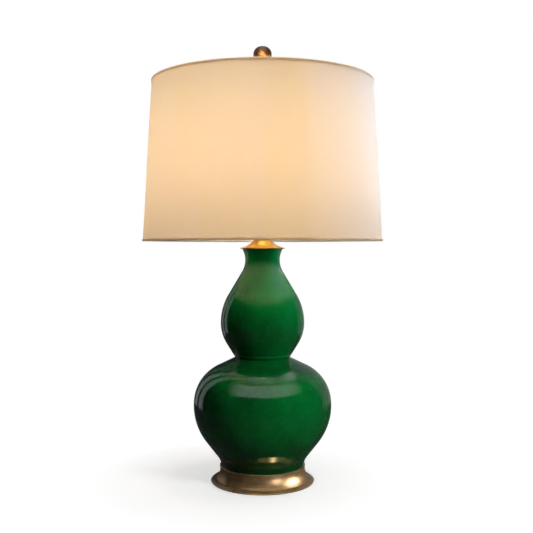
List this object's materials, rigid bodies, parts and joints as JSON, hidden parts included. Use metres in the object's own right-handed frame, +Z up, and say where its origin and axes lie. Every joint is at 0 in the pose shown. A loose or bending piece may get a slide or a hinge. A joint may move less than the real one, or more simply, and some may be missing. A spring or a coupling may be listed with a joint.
{
  "type": "table lamp",
  "caption": "Table lamp: glazed double-gourd body on a turned gilt base, with a brass vase cap, lamp socket, harp and tapered drum shade held by a turned finial.",
  "frame": {"origin": "centre of the base's underside, on the lamp's axis, at the table's surface", "axes": "+Z up along the lamp's axis; -Y towards the front, where the switch knob is; +Y towards the cord outlet; +X to the right seen from the front"},
  "size_m": [0.4323, 0.4324, 0.7896],
  "materials": {
    "felt": "dense dark felt",
    "gilt_wood": "antique gold leaf over brown wood, rubbed at the edges",
    "steel": "zinc-plated, satin",
    "glaze": "thick glossy emerald glaze with faint throwing lines",
    "brass": "polished, lacquered",
    "old_brass": "turned brass with a darkened patina",
    "fibre": "pressed insulating fibre",
    "phenolic": "moulded, dark brown",
    "bush_plastic": "moulded, brown",
    "knob_plastic": "moulded, black",
    "bulb_metal": "rolled, bright",
    "bulb_glass": "frosted inside, lit",
    "shade_fabric": "off-white linen laminated on a stiff translucent sheet",
    "shade_tape": "thin rolled edge tape",
    "white_wire": "powder-coated wire"
  },
  "bodies": {
    "root": {"felt_pad": "felt", "turned_base": "gilt_wood", "cord_bush": "bush_plastic", "lamp_pipe": "steel", "base_washer": "steel", "base_nut": "steel", "gourd_body": "glaze", "vase_cap": "brass", "check_ring": "brass", "harp_saddle": "brass", "socket_cap": "brass", "socket_shell": "brass", "socket_insulator": "fibre", "socket_core": "phenolic", "screw_shell": "bulb_metal", "centre_contact": "brass", "terminal_screws": "brass", "harp_wire": "brass"},
    "switch": {"switch_stem": "brass", "switch_knob": "knob_plastic"},
    "bulb": {"bulb_contact": "bulb_metal", "bulb_collar": "knob_plastic", "bulb_base": "bulb_metal", "bulb_glass": "bulb_glass"},
    "sleeve_left": {"harp_sleeve_left": "brass"},
    "sleeve_right": {"harp_sleeve_right": "brass"},
    "swivel": {"harp_swivel": "brass"},
    "shade": {"shade_skin": "shade_fabric", "shade_bottom_ring": "white_wire", "shade_top_ring": "white_wire", "shade_top_trim": "shade_tape", "shade_bottom_trim": "shade_tape", "spider_fitter": "brass"},
    "finial": {"finial": "old_brass"}
  },
  "joints": [
    {"name": "switch_turn", "type": "hinge", "parent": "root", "child": "switch", "pos_m": [0, -0.024, 0.486], "axis": [0, -1, 0], "continuous": true},
    {"name": "bulb_turn", "type": "hinge", "parent": "root", "child": "bulb", "pos_m": [0, 0, 0.505], "axis": [0, 0, 1], "range_deg": [0, 1080]},
    {"name": "sleeve_left_lift", "type": "slide", "parent": "root", "child": "sleeve_left", "axis": [0, 0, 1], "range_m": [0, 0.01]},
    {"name": "sleeve_right_lift", "type": "slide", "parent": "root", "child": "sleeve_right", "axis": [0, 0, 1], "range_m": [0, 0.01]},
    {"name": "shade_turn", "type": "hinge", "parent": "root", "child": "swivel", "pos_m": [0, 0, 0.7135], "axis": [0, 0, 1], "continuous": true},
    {"name": "shade_lift", "type": "slide", "parent": "swivel", "child": "shade", "axis": [0, 0, 1], "range_m": [0, 0.3]},
    {"name": "finial_turn", "type": "hinge", "parent": "shade", "child": "finial", "pos_m": [0, 0, 0.72], "axis": [0, 0, 1], "range_deg": [0, 1800]}
  ]
}
